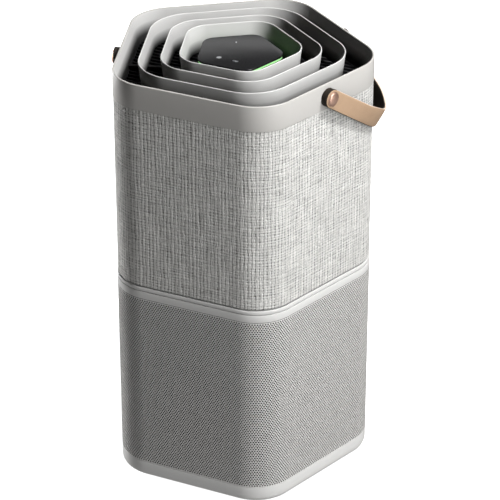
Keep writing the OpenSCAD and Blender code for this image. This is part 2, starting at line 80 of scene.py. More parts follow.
# The plan's middle lies a little towards the front, which centres the body's box on y = 0.
PLAN_Y = -(CORNER_REACH - APOTHEM) / 2
HALF_FLAT = (APOTHEM - CORNER) * math.tan(HALF_TURN)
ARC_LENGTH = CORNER * TURN
SIDE_LENGTH = 2 * HALF_FLAT + ARC_LENGTH
PERIMETER = 5 * SIDE_LENGTH

BASE_LOW, BASE_TOP = 8.0 * MM, 28.2 * MM
SKIN_LOW, SKIN_TOP = 28.55 * MM, 239.6 * MM
BAND_LOW, BAND_TOP = 240.0 * MM, 249.0 * MM
LIP_LOW, LIP_TOP = 249.8 * MM, 254.0 * MM
FABRIC_LOW, FABRIC_TOP = 256.2 * MM, 466.8 * MM
COLLAR_LOW, RIM_TOP = 467.0 * MM, 496.0 * MM
RING_LOW = 471.2 * MM
RING_STEP = 1.6 * MM  # each ring inwards stands this much higher
PANEL_TOP = 493.3 * MM
PANEL_INSET, PANEL_RADIUS = 85.5 * MM, 16.0 * MM
STUD_HEIGHT = 480.5 * MM
STUD_RADIUS = 8.0 * MM
STAND_OFF = 4.8 * MM  # thickness of the pads that hold the strap ends off the collar
STRAP_THICKNESS = 3.2 * MM
STRAP_WIDTH = 20.6 * MM
STRAP_DROP = 53.5 * MM  # from a stud's middle to the strap's middle at the corner


# ---- Plan geometry ----


def place(station, inset=0.0, radius=None):
    """Points (n, 2) of an inset outline at those stations, and the outward directions (n, 2)."""
    radius = CORNER - inset if radius is None else radius
    station = np.mod(np.asarray(station, float), PERIMETER)
    side = np.floor(station / SIDE_LENGTH)
    along = station - side * SIDE_LENGTH
    facing = FRONT + TURN * side
    half_flat = (APOTHEM - inset - radius) * math.tan(HALF_TURN)
    reach = (APOTHEM - inset - radius) / math.cos(HALF_TURN)
    after = along >= HALF_FLAT + ARC_LENGTH
    in_arc = (along >= HALF_FLAT) & ~after
    turn = np.clip((along - HALF_FLAT) / ARC_LENGTH, 0, 1)
    angle = facing + TURN * turn
    outward = np.stack([np.cos(angle), np.sin(angle)], -1)
    tangent = np.stack([-np.sin(angle), np.cos(angle)], -1)
    slide = np.where(after, (along - SIDE_LENGTH) / HALF_FLAT, along / HALF_FLAT) * half_flat
    flat = outward * (APOTHEM - inset) + tangent * slide[..., None]
    middle = facing + HALF_TURN
    centre = reach * np.stack([np.cos(middle), np.sin(middle)], -1)
    points = np.where(in_arc[..., None], centre + radius * outward, flat)
    return points + np.array([0, PLAN_Y]), outward


def stations(arc_steps=20, flat_steps=4):
    """Stations all the way round, closer together on the corners."""
    found = []
    for side in range(5):
        start = side * SIDE_LENGTH
        found += list(start + np.linspace(0, HALF_FLAT, flat_steps, endpoint=False))
        arc = start + HALF_FLAT
        found += list(arc + np.linspace(0, ARC_LENGTH, arc_steps, endpoint=False))
        found += list(arc + ARC_LENGTH + np.linspace(0, HALF_FLAT, flat_steps, endpoint=False))
    return np.array(found)


def directions(turns):
    """Outward and sideways directions, that many sides counterclockwise from the front."""
    angle = FRONT + TURN * turns
    return (
        np.array([math.cos(angle), math.sin(angle), 0]),
        np.array([-math.sin(angle), math.cos(angle), 0]),
    )


# ---- Meshes ----


def make_piece(name, points, faces, material, body, loop_uv=None, face_material=None, sharp=40):
    """A mesh object from vertex and face arrays, smooth except at edges over sharp degrees."""
    mesh = bpy.data.meshes.new(name)
    loops = np.concatenate([f.ravel() for f in faces]).astype(np.int32)
    sizes = np.concatenate([np.full(len(f), f.shape[1]) for f in faces])
    starts = np.concatenate([[0], np.cumsum(sizes)[:-1]]).astype(np.int32)
    mesh.vertices.add(len(points))
    mesh.vertices.foreach_set("co", np.asarray(points, np.float32).ravel())
    mesh.loops.add(len(loops))
    mesh.loops.foreach_set("vertex_index", loops)
    mesh.polygons.add(len(sizes))
    mesh.polygons.foreach_set("loop_start", starts)
    if loop_uv is not None:
        layer = mesh.uv_layers.new(name="along")
        layer.data.foreach_set("uv", np.asarray(loop_uv, np.float32).ravel())
    materials = material if isinstance(material, (list, tuple)) else [material]
    for m in materials:
        mesh.materials.append(m)
    if face_material is not None:
        mesh.polygons.foreach_set("material_index", np.asarray(face_material, np.int32))
    mesh.update(calc_edges=True)
    mesh.polygons.foreach_set("use_smooth", np.ones(len(sizes), bool))
    mesh.set_sharp_from_angle(angle=math.radians(sharp))
    piece = bpy.data.objects.new(name, mesh)
    bpy.context.scene.collection.objects.link(piece)
    if body:
        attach(piece, body)
    return piece


def grid_faces(rows, columns, wrap_rows, wrap_columns):
    """Quads of a grid of points, with each quad's unwrapped row and column numbers."""
    j = np.arange(rows if wrap_rows else rows - 1)
    i = np.arange(columns if wrap_columns else columns - 1)
    jj, ii = np.meshgrid(j, i, indexing="ij")
    row = np.stack([jj, jj, jj + 1, jj + 1], -1).reshape(-1, 4)
    column = np.stack([ii, ii + 1, ii + 1, ii], -1).reshape(-1, 4)
    return (row % rows) * columns + column % columns, row, column


def stations_between(start, end):
    """Stations of one stretch of the outline, both ends included."""
    found = np.concatenate([stations() + PERIMETER * k for k in (0, 1)])
    return np.concatenate([[start], found[(found > start) & (found < end)], [end]])


def loft(name, profile, material, body, stretch=None, closed=True, caps=()):
    """A profile of (inset, height, outline radius) carried round the plan, or along a stretch.

    It runs up the outside and down the inside. An open profile is closed by flat caps at the
    ends named, "first" or "last". A stretch is closed by the profile's own shape at its ends.
    """
    whole = stretch is None
    where = stations() if whole else stations_between(*stretch)
    count = len(where)
    rings = []
    for inset, height, radius in profile:
        xy, _ = place(where, inset, radius)
        rings.append(np.column_stack([xy, np.full(count, height)]))
    points = np.concatenate(rings)
    quads, row, column = grid_faces(len(profile), count, closed, whole)
    ends = np.array([(p[0], p[1]) for p in list(profile) + [profile[0]]])
    along = np.concatenate([[0], np.cumsum(np.hypot(*np.diff(ends, axis=0).T))])
    around = np.append(where, where[0] + PERIMETER)
    uv = [np.stack([around[column], along[row]], -1).reshape(-1, 2)]
    faces = [quads]
    ring = np.arange(count)
    section = np.arange(len(profile)) * count
    flat = [] if whole else [section, section[::-1] + count - 1]
    flat += [ring[::-1]] if "first" in caps else []
    flat += [section[-1] + ring] if "last" in caps else []
    for face in flat:
        faces.append(face[None, :])
        uv.append(points[face][:, :2])
    return make_piece(name, points, faces, material, body, np.concatenate(uv))


def quarter(inset, height, size, start, steps=4):
    """Profile points of a rounded edge about a centre, over 90 degrees from start."""
    found = []
    for a in np.radians(start + np.linspace(0, 90, steps + 1)):
        x = inset - size * math.cos(a)
        found.append((x, height + size * math.sin(a), CORNER - x))
    return found


def band_profile(inset, wall, low, high, edge):
    """A thin wall with eased outer edges."""
    inner = inset + wall
    return (
        quarter(inset + edge, low + edge, edge, -90, 3)
        + quarter(inset + edge, high - edge, edge, 0, 3)
        + [(inner, high, CORNER - inner), (inner, low, CORNER - inner)]
    )


def lathe(name, profile, frames, material, body, steps=48, sharp=35):
    """A profile of (radius, distance along the axis) turned round each frame.

    A frame is (origin, axis, sideways, up). The profile starts and ends on the axis.
    """
    angles = np.linspace(0, 2 * math.pi, steps, endpoint=False)
    points, faces, base = [], [], 0
    for origin, axis, sideways, up in frames:
        for radius, distance in profile:
            circle = np.outer(np.cos(angles), sideways) + np.outer(np.sin(angles), up)
            points.append(origin + axis * distance + circle * radius)
        quads, _, _ = grid_faces(len(profile), steps, False, True)
        faces.append(quads + base)
        base += len(profile) * steps
    return make_piece(name, np.concatenate(points), faces, material, body, sharp=sharp)


# ---- Shader helpers ----


class Shader:
    """A material and short calls that add nodes to it."""

    def __init__(self, name, roughness=0.5, metallic=0.0, specular=0.5):
        self.material = bpy.data.materials.new(name)
        self.material.use_nodes = True
        self.tree = self.material.node_tree
        self.surface = self.tree.nodes["Principled BSDF"]
        self.set("Roughness", roughness)
        self.set("Metallic", metallic)
        self.set("Specular IOR Level", specular)

    def set(self, socket, value):
        self.surface.inputs[socket].default_value = value

    def link(self, output, socket):
        self.tree.links.new(output, self.surface.inputs[socket])

    def add(self, kind, inputs=(), **settings):
        """The outputs of a new node. Each of its inputs is a value or a node's output."""
        made = self.tree.nodes.new("ShaderNode" + kind)
        for key, value in settings.items():
            setattr(made, key, value)
        for key, value in dict(inputs).items():
            if isinstance(value, bpy.types.NodeSocket):
                self.tree.links.new(value, made.inputs[key])
            else:
                made.inputs[key].default_value = value
        return made.outputs

    def math(self, operation, *values, clamp=False):
        return self.add("Math", enumerate(values), operation=operation, use_clamp=clamp)[0]

    def objects(self, stretch=(1, 1, 1)):
        """Row-frame coordinates in metres, stretched."""
        source = self.add("TexCoord")["Object"]
        if stretch == (1, 1, 1):
            return source
        return self.add("VectorMath", {0: source, 1: stretch}, operation="MULTIPLY")[0]

    def axes(self, vector):
        """The x, y and z of a vector, as three outputs."""
        return tuple(self.add("SeparateXYZ", {0: vector}))

    def along(self):
        """Distance round the plan and distance along the profile, as two outputs."""
        return self.axes(self.add("UVMap", uv_map="along")[0])[:2]

    def vector(self, x, y, z=0.0):
        return self.add("CombineXYZ", {0: x, 1: y, 2: z})[0]

    def ripple(self, value, rate):
        """Rounded ridges: the absolute sine of value times rate."""
        return self.math("ABSOLUTE", self.math("SINE", self.math("MULTIPLY", value, rate)))

    def weighted(self, first, first_weight, second, second_weight):
        """The sum of two values, each times its weight."""
        weighed = self.math("MULTIPLY", first, first_weight)
        return self.math("ADD", weighed, self.math("MULTIPLY", second, second_weight))

    def noise(self, vector, scale, detail=3.0, roughness=0.55):
        inputs = {"Vector": vector, "Scale": scale, "Detail": detail, "Roughness": roughness}
        return self.add("TexNoise", inputs)["Fac"]

    def cell_edges(self, vector, scale):
        """Distance from the edges of irregular cells, in cells."""
        inputs = {"Vector": vector, "Scale": scale}
        return self.add("TexVoronoi", inputs, feature="DISTANCE_TO_EDGE")["Distance"]

    def spread(self, value, low, high, from_low=0.0, from_high=1.0):
        """The value's range from_low to from_high, clamped and mapped to low to high."""
        inputs = {"Value": value, "From Min": from_low, "From Max": from_high}
        return self.add("MapRange", {**inputs, "To Min": low, "To Max": high})[0]

    def mix(self, factor, first, second):
        """A colour between two colours. A Mix node's colours are its inputs 6 and 7."""
        return self.add("Mix", {0: factor, 6: first, 7: second}, data_type="RGBA")[2]

    def bump(self, height, distance, strength=1.0):
        """Relief on the surface, distance deep where height goes from 0 to 1."""
        inputs = {"Height": height, "Distance": distance, "Strength": strength}
        self.link(self.add("Bump", inputs)[0], "Normal")


# Noise scales, in features per metre: cloudy tones, and the grain of moulded plastic.
CLOUDS = 26
GRAIN = 1400


def shade(color, factor):
    """A colour made darker or lighter by a factor, with an alpha of 1."""
    return tuple(min(1.0, c * factor) for c in color[:3]) + (1.0,)


def moulded(name, color, roughness=0.42, mottle=0.05, grain=GRAIN, specular=0.5, depth_shade=None):
    """Moulded plastic or satin paint: a fine grain, a faint cloudiness and uneven gloss.

    Its last argument, (low, high, deep, falloff), paints shade into it with depth, from its full
    colour at the height high to the share deep of it at the height low.
    """
    s = Shader(name, specular=specular)
    where = s.objects()
    cloud = s.noise(where, CLOUDS, 4)
    fine = s.noise(where, grain, 2)
    base = s.mix(cloud, shade(color, 1 - mottle), shade(color, 1 + mottle))
    # Painted shade: darker with depth, down to the share deep at the height low.
    if depth_shade:
        low, high, deep, falloff = depth_shade
        lit = s.math("POWER", s.spread(s.axes(where)[2], 0, 1, low, high), falloff)
        base = s.mix(lit, shade(color, deep), base)
    s.link(base, "Base Color")
    s.link(s.spread(fine, roughness - 0.07, roughness + 0.07, 0.3, 0.7), "Roughness")
    s.bump(fine, 0.02 * MM)
    return s.material


def polished(name, color, roughness=0.2):
    """Smooth dark moulding with a soft sheen and the faintest smudges."""
    s = Shader(name)
    smudge = s.noise(s.objects(), 30, 4)
    s.link(s.mix(smudge, shade(color, 0.94), shade(color, 1.06)), "Base Color")
    s.link(s.spread(smudge, roughness - 0.015, roughness + 0.015), "Roughness")
    return s.material


def metal(name, color, roughness=0.3, brushed=(1, 1, 60)):
    """Metal with a fine brushed or turned grain."""
    s = Shader(name, metallic=1.0)
    grain = s.noise(s.objects(brushed), 420, 3)
    cloud = s.noise(s.objects(), 60, 3)
    s.link(s.mix(cloud, shade(color, 0.88), shade(color, 1.08)), "Base Color")
    s.link(s.spread(grain, roughness - 0.08, roughness + 0.1, 0.3, 0.7), "Roughness")
    s.bump(grain, 0.015 * MM)
    return s.material


def rubber(name, color):
    """Dull rubber with patches of pale dust."""
    s = Shader(name, specular=0.35)
    where = s.objects()
    fine = s.noise(where, 2200, 2)
    dust = s.spread(s.noise(where, 90, 5, 0.7), 0, 1, 0.5, 0.8)
    s.link(s.mix(dust, shade(color, 0.9), shade(color, 1.9)), "Base Color")
    s.link(s.spread(fine, 0.72, 0.9, 0.3, 0.7), "Roughness")
    s.bump(fine, 0.03 * MM)
    return s.material


def cloth(name, color, pitch):
    """A fine plain weave on a small part, in object coordinates."""
    s = Shader(name, roughness=0.9, specular=0.2)
    where = s.objects()
    x, y, z = s.axes(where)
    yarns = [s.ripple(axis, math.pi / pitch) for axis in (s.math("ADD", x, y), z)]
    fibre = s.noise(where, 900, 4)
    # Darker where the yarns dip between each other: painted shade.
    lit = s.weighted(s.math("MULTIPLY", *yarns), 0.55, fibre, 0.45)
    s.link(s.mix(lit, shade(color, 0.55), shade(color, 1.2)), "Base Color")
    s.bump(lit, 0.2 * MM)
    return s.material


def leather(name, color, roughness=0.55, cell=620, contrast=0.12):
    """Grained leather: small cells between creases, broad tonal changes and scuffed highs."""
    s = Shader(name, specular=0.4)
    where = s.objects()
    creases = s.spread(s.cell_edges(where, cell), 0, 1, 0.0, 0.12)
    broad = s.noise(where, 45, 5, 0.6)
    fine = s.noise(where, 1500, 3)
    tone = s.weighted(broad, 0.8, creases, 0.2)
    s.link(s.mix(tone, shade(color, 1 - contrast), shade(color, 1 + contrast)), "Base Color")
    s.link(s.spread(broad, roughness + 0.08, roughness - 0.08), "Roughness")
    s.bump(s.weighted(creases, 0.7, fine, 0.3), 0.12 * MM, 0.6)
    return s.material


def cut_edge(name, color):
    """The cut edge of leather: fibres that run along it."""
    s = Shader(name, roughness=0.75, specular=0.3)
    fibres = s.noise(s.objects((1, 1, 6)), 700, 4)
    s.link(s.mix(fibres, shade(color, 0.86), shade(color, 1.1)), "Base Color")
    s.bump(fibres, 0.06 * MM)
    return s.material


def circuit(name, color):
    """A circuit board: lacquered green with paler tracks."""
    s = Shader(name, roughness=0.35)
    where = s.objects()
    tracks = s.spread(s.cell_edges(where, 260), 1, 0, 0.03, 0.06)
    cloud = s.noise(where, 60)
    base = s.mix(cloud, shade(color, 0.8), shade(color, 1.2))
    s.link(s.mix(tracks, base, shade(color, 2.4)), "Base Color")
    s.bump(tracks, 0.03 * MM)
    return s.material


def glow(name, color, power):
    """Translucent plastic that is lit from inside, a little unevenly."""
    s = Shader(name, roughness=0.5)
    where = s.objects()
    uneven = s.noise(where, 40, 2)
    tint = s.mix(uneven, shade(color, 0.8), shade(color, 1.15))
    s.link(tint, "Base Color")
    s.link(tint, "Emission Color")
    s.set("Emission Strength", power)
    return s.material


def winding(name, color):
    """Lacquered copper wire wound side by side, 0.75 mm apart."""
    s = Shader(name, metallic=0.8, roughness=0.35)
    wires = s.ripple(s.axes(s.objects())[2], 4200)
    # Darker in the grooves between wires: painted shade.
    s.link(s.mix(wires, shade(color, 0.45), shade(color, 1.15)), "Base Color")
    s.bump(wires, 0.25 * MM)
    return s.material


def pleats(name, color):
    """Pressed filter paper with embossed spacer lines across the pleats, 24 mm apart."""
    s = Shader(name, roughness=0.95, specular=0.1)
    where = s.objects()
    spacer = s.spread(s.ripple(s.axes(where)[2], 130), 1, 0, 0.0, 0.1)
    fibre = s.noise(where, 700, 5, 0.7)
    base = s.mix(fibre, shade(color, 0.88), shade(color, 1.05))
    s.link(s.mix(s.math("MULTIPLY", spacer, 0.5), base, shade(color, 0.7)), "Base Color")
    s.bump(s.math("ADD", fibre, spacer), 0.15 * MM)
    return s.material


# ---- The woven sleeve's cloth ----

# Groups of two yarns: upright ones round the body, and level ones up it.
WARP_GROUPS = 204
WEFT_GROUPS = 64
WARP = PERIMETER / WARP_GROUPS
WEFT = (FABRIC_TOP - FABRIC_LOW) / WEFT_GROUPS


def heathered_weave(name):
    """A basket weave in heathered grey: pairs of yarns that pass over and under each other."""
    s = Shader(name, roughness=0.92, specular=0.15)
    s.set("Sheen Weight", 0.1)
    around, up = s.along()
    columns = s.math("DIVIDE", around, WARP)
    rows = s.math("DIVIDE", up, WEFT)

    def streaks(seed, across, lengthwise, level):
        """Noise drawn out along the level or the upright yarns, in features per group."""
        a, b = (lengthwise, across) if level else (across, lengthwise)
        where = s.vector(s.math("MULTIPLY", columns, a), s.math("MULTIPLY", rows, b), seed)
        return s.noise(where, 1.0, 2, 0.6)

    def wander(position, noise):
        """Positions shifted by up to 0.3 of a group, so that no gap is quite straight."""
        return s.math("ADD", position, s.spread(noise, -0.3, 0.3, 0.25, 0.75))

    moved_columns = wander(columns, streaks(0.0, 0.7, 0.13, level=False))
    moved_rows = wander(rows, streaks(4.0, 0.8, 0.10, level=True))

    def family(position, crossing, sign, thickness):
        """Height of the yarns of one direction: two to a group, rising and dipping by turns."""
        fold = s.math("FRACT", s.math("MULTIPLY", position, 2.0))
        centred = s.math("MULTIPLY_ADD", fold, 2.0, -1.0)
        yarn = s.math("SUBTRACT", 1.0, s.math("MULTIPLY", centred, centred))
        pair = s.math("POWER", s.ripple(position, math.pi), 0.5)
        body = s.math("MULTIPLY", pair, s.spread(yarn, 0.6, 1.0))
        group = s.math("MULTIPLY", s.math("FLOOR", position), math.pi)
        shifted = s.math("MULTIPLY_ADD", crossing, math.pi, -math.pi / 2)
        wave = s.math("MULTIPLY", s.math("COSINE", shifted), s.math("COSINE", group))
        rise = s.spread(s.math("MULTIPLY", wave, sign), 0.45, 1.0, -1.0, 1.0)
        return s.math("MULTIPLY", s.math("MULTIPLY", body, rise), thickness)

    upright_thickness = s.spread(streaks(9.0, 1.6, 0.07, level=False), 0.7, 1.15, 0.3, 0.7)
    level_thickness = s.spread(streaks(17.0, 1.9, 0.14, level=True), 0.6, 1.1, 0.3, 0.7)
    upright = family(moved_columns, moved_rows, 1.0, upright_thickness)
    crosswise = family(moved_rows, moved_columns, -1.0, level_thickness)
    height = s.math("MAXIMUM", upright, crosswise)
    # The tone is painted shade in the yarns' gaps, plus each yarn's own dye, plus single fibres.
    cover = s.math("MULTIPLY", s.spread(height, 0, 1, 0.22, 0.60), 0.72)
    dyes = streaks(23.0, 2.3, 0.08, level=False), streaks(31.0, 2.6, 0.22, level=True)
    dye = s.spread(s.math("ADD", *dyes), -0.17, 0.28, 0.7, 1.3)
    fibre = s.noise(s.vector(around, up), 2400, 3, 0.7)
    tone = s.math("ADD", cover, dye, clamp=True)
    tone = s.math("ADD", tone, s.spread(fibre, -0.08, 0.08, 0.3, 0.7), clamp=True)
    gap_shade_color, yarn_color = (0.13, 0.127, 0.118, 1), (1.0, 0.99, 0.96, 1)
    s.link(s.mix(tone, gap_shade_color, yarn_color), "Base Color")
    s.bump(s.math("MULTIPLY_ADD", fibre, 0.2, height), 1.3 * MM, 1.0)
    return s.material


# ---- Materials of the CAD's slots ----

LIGHT = (0.59, 0.575, 0.55)  # the collar's outside
PALE = (0.78, 0.775, 0.76)  # the base ring, the bands and the outlet's walls
seam_rubber = rubber("seam_rubber", (0.42, 0.42, 0.41))
pale_plastic = moulded("pale_moulding", PALE, 0.34, 0.03)
# Painted shade: the outlet's walls darken with depth, from about 11 mm under the rim.
OUTLET_PAINTED_SHADE = (RING_LOW + MM, RIM_TOP - 11 * MM, 0.05, 1.3)
outlet_plastic_painted_shade = moulded("outlet_moulding_painted_shade", PALE, mottle=0.03, depth_shade=OUTLET_PAINTED_SHADE)
materials = {
    "light_plastic": moulded("light_moulding", LIGHT, 0.42, 0.03, specular=0.35),
    "skin_metal": moulded("skin_paint", (0.85, 0.835, 0.815), 0.45, 0.03, grain=2200),
    "dark_plastic": moulded("dark_moulding", (0.022, 0.022, 0.024), 0.5, 0.15),
    "grey_plastic": moulded("grey_moulding", (0.30, 0.30, 0.30), 0.5, 0.06),
    "rubber": rubber("black_rubber", (0.03, 0.03, 0.03)),
    "steel": metal("plain_steel", (0.60, 0.60, 0.62), 0.3),
    "woven_fabric": heathered_weave("heathered_weave"),
    "panel_gloss": polished("panel_gloss", (0.014, 0.014, 0.015), 0.24),
    "green_glow": glow("green_glow", (0.42, 0.95, 0.36), 0.6),
    "board": circuit("circuit_board", (0.02, 0.12, 0.05)),
    "board_components": moulded("board_components", (0.06, 0.06, 0.07), 0.45, 0.2, 300),
    "led_lens": glow("led_lens", (0.75, 1.0, 0.75), 1.0),
    "motor_metal": metal("motor_metal", (0.60, 0.61, 0.63), 0.4, (1, 1, 1)),
    "copper_winding": winding("copper_winding", (0.72, 0.36, 0.16)),
    "brass_nut": metal("brass_nut", (0.74, 0.58, 0.26), 0.28),
    "copper_stud": metal("copper_stud", (0.70, 0.46, 0.36), 0.5, (1, 1, 1)),
    "strap_leather": leather("tan_leather", (0.48, 0.325, 0.21)),
    "pad_leather": leather("dark_leather", (0.030, 0.022, 0.016), 0.6),
    "filter_paper": pleats("filter_paper", (0.80, 0.80, 0.76)),
    "filter_plastic": moulded("filter_moulding", (0.55, 0.58, 0.60), 0.5, 0.04),
    "carbon_cloth": cloth("carbon_cloth", (0.035, 0.035, 0.035), 2.5 * MM),
    "tab_fabric": cloth("tab_tape", (0.10, 0.27, 0.52), 1.2 * MM),
}
edge_leather = cut_edge("leather_edge", (0.82, 0.68, 0.56))
# Painted shade for the walls of the skin's holes, darker than the skin's own paint.
hole_wall_shade = moulded("hole_wall_shade", (0.22, 0.215, 0.205), 0.5, 0.03, grain=2200)
# Black cloth for a dust screen, which also serves as painted shade behind the skin's holes.
screen_and_shade_cloth = cloth("screen_and_shade_cloth", (0.012, 0.012, 0.012), 0.8 * MM)
icon_light = glow("icon_light", (0.62, 0.64, 0.66), 0.22)

for part in frame["record"]["subparts"]:
    data = frame["nodes"][part["node"]].data
    data.materials.clear()
    data.materials.append(materials[part["material_slot"]])


def stands_for(piece, slot, *nodes):
    """Shows the piece in place of those CAD nodes by hiding them; slot is not used."""
    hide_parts(*nodes)
    return piece


# ---- Base, bands, collar and rings ----

# Half the width and the top of the window for the power inlet.
INLET_HALF = 12.3 * MM
INLET_TOP = BASE_TOP - 5.2 * MM


def build_base_ring():
    """The base ring, open from below to its lintel where the power inlet sits."""
    edge, flange, lip = 8 * MM, 14 * MM, 0.5 * MM
    wall, floor = 3 * MM, 2.5 * MM
    profile = quarter(edge, BASE_LOW + edge, edge, -90, 9)
    profile += quarter(lip, BASE_TOP - lip, lip, 0, 3)
    inside = (
        (wall, BASE_TOP),
        (wall, BASE_LOW + edge + MM),
        (edge + MM, BASE_LOW + floor),
        (flange, BASE_LOW + floor),
        (flange, BASE_LOW),
    )
    profile += [(x, z, CORNER - x) for x, z in inside]
    middle = 3 * SIDE_LENGTH
    window = (middle + INLET_HALF, middle + PERIMETER - INLET_HALF)
    over_window = (middle - INLET_HALF, middle + INLET_HALF)
    shell = loft("base_ring_shell", profile, pale_plastic, "main", window)
    lintel_profile = band_profile(0, wall, INLET_TOP, BASE_TOP, 0.3 * MM)
    lintel = loft("base_ring_lintel", lintel_profile, pale_plastic, "main", over_window)
    return shell, lintel


def build_collar():
    """The smooth collar, with a thin rounded rim and an inner wall that narrows downwards."""
    rim, lean, edge = 2.4 * MM, 5.2 * MM, 0.9 * MM
    foot = rim + lean
    ease = 0.35 * MM
    profile = (
        quarter(ease, COLLAR_LOW + ease, ease, -90, 3)
        + quarter(edge, RIM_TOP - edge, edge, 0, 5)
        + quarter(rim - edge, RIM_TOP - edge, edge, 90, 5)
        + [(foot, COLLAR_LOW, CORNER - foot)]
    )
    collar = loft("collar_shell", profile, [materials["light_plastic"], outlet_plastic_painted_shade], "main")
    inside = len(profile) - 2  # the profile's step that is the inner wall
    count = len(stations())
    kinds = np.zeros(len(collar.data.polygons), np.int32)
    # The inner wall takes the outlet's moulding, with painted shade that darkens it with depth.
    kinds[inside * count : (inside + 1) * count] = 1
    collar.data.polygons.foreach_set("material_index", kinds)
    return collar


def build_ring(name, inset, radius, top):
    """A thin ring that leans inward towards its foot, with a rounded upper edge."""
    half = 0.65 * MM
    lean = (top - RING_LOW) / 9
    centre = inset + half
    crown = []
    for a in np.linspace(0, math.pi, 9):
        x = centre - half * math.cos(a)
        crown.append((x, top - half + half * math.sin(a), radius + inset - x))
    foot = (inset + lean, RING_LOW, radius - lean)
    waist = (inset + lean / 2, (RING_LOW + top) / 2, radius - lean / 2)
    inside = [(x + 2 * half, z, r - 2 * half) for x, z, r in (waist, foot)]
    # The ring's moulding has painted shade, darker towards its foot.
    return loft(name, [foot, waist, *crown, *inside], outlet_plastic_painted_shade, "main")


for shell in build_base_ring():
    stands_for(shell, "light_plastic", "base_ring")
stands_for(build_collar(), "light_plastic", "top_collar")
# Each ring's inset from the body's outside and its corner radius, in millimetres.
RINGS = ((24.6, 49.5), (47.5, 37.6), (66.7, 28.1))
for number, (inset, radius) in enumerate(RINGS, start=1):
    top = RIM_TOP + RING_STEP * number
    ring = build_ring(f"outlet_ring_wall_{number}", inset * MM, radius * MM, top)
    stands_for(ring, "light_plastic", f"outlet_ring_{number}")

# The bands of the waist: inset, thickness, foot, top and edge radius.
band_wall = (0, 4.2 * MM, BAND_LOW, BAND_TOP, 0.3 * MM)
lip_wall = (0, 1.7 * MM, LIP_LOW, LIP_TOP, 0.6 * MM)
gasket_wall = (1.9 * MM, 2.2 * MM, BAND_TOP + 0.1 * MM, FABRIC_LOW - 0.1 * MM, 0.1 * MM)
for name, wall, material, slot, node in (
    ("band_shell", band_wall, pale_plastic, "light_plastic", "mid_band"),
    ("lip_shell", lip_wall, pale_plastic, "light_plastic", "seam_lip"),
    ("gasket_shell", gasket_wall, seam_rubber, "rubber", "seam_gasket"),
):
    stands_for(loft(name, band_profile(*wall), material, "main"), slot, node)


# ---- Control panel ----


def build_panel():
    """The touch panel's glossy cover, with an eased upper edge."""
    thick, ease = 2.0 * MM, 0.5 * MM
    profile = [(PANEL_INSET, PANEL_TOP - thick, PANEL_RADIUS)]
    for a in np.linspace(0, math.pi / 2, 6):
        step = ease * (1 - math.cos(a))
        height = PANEL_TOP - ease + ease * math.sin(a)
        profile.append((PANEL_INSET + step, height, PANEL_RADIUS - step))
    gloss = materials["panel_gloss"]
    return loft("panel_glass", profile, gloss, "main", closed=False, caps=("first", "last"))


def flat_shape(outline):
    """Vertices and faces of a thin raised shape with that outline (n, 2), on the panel."""
    count = len(outline)
    low = np.column_stack([outline, np.full(count, PANEL_TOP - 0.02 * MM)])
    high = np.column_stack([outline, np.full(count, PANEL_TOP + 0.05 * MM)])
    quads, _, _ = grid_faces(2, count, False, True)
    return np.concatenate([low, high]), [quads, (count + np.arange(count))[None, :]]


def rounded_bar(x, y, length, width, steps=8):
    """Outline of a level bar with round ends."""
    r = width / 2
    right = np.linspace(-math.pi / 2, math.pi / 2, steps)
    ends = [
        np.column_stack([x + length / 2 - r + r * np.cos(right), y + r * np.sin(right)]),
        np.column_stack([x - length / 2 + r - r * np.cos(right), y - r * np.sin(right)]),
    ]
    return np.concatenate(ends)


def disc(x, y, radius, steps=24):
    """Outline of a round mark."""
    a = np.linspace(0, 2 * math.pi, steps, endpoint=False)
    return np.column_stack([x + radius * np.cos(a), y + radius * np.sin(a)])


def build_icons():
    """Two plain touch marks near the front edge, and a small light behind the middle."""
    outlines = []
    left, right = -12.4 * MM, 7.5 * MM
    left_row, right_row = PLAN_Y - 22.6 * MM, PLAN_Y - 23.8 * MM
    for i, length in enumerate((4.4, 5.4, 3.6), start=-1):
        y = left_row + i * 1.7 * MM
        outlines.append(rounded_bar(left + i * 0.3 * MM, y, length * MM, 0.8 * MM))
    outlines.append(disc(right, right_row, 1.1 * MM))
    for beside in (-2.3, -1.3, 1.3, 2.3):
        outlines.append(rounded_bar(right + beside * MM, right_row, 0.7 * MM, 2.6 * MM))
    outlines.append(disc(-12.5 * MM, PLAN_Y + 20.8 * MM, 0.8 * MM))
    points, faces, base = [], [], 0
    for outline in outlines:
        p, f = flat_shape(outline)
        points.append(p)
        faces += [x + base for x in f]
        base += len(p)
    faces.sort(key=lambda f: f.shape[1])
    return make_piece("touch_marks", np.concatenate(points), faces, icon_light, "main", sharp=30)


stands_for(build_panel(), "panel_gloss", "control_panel")
build_icons()


# ---- Woven sleeve ----


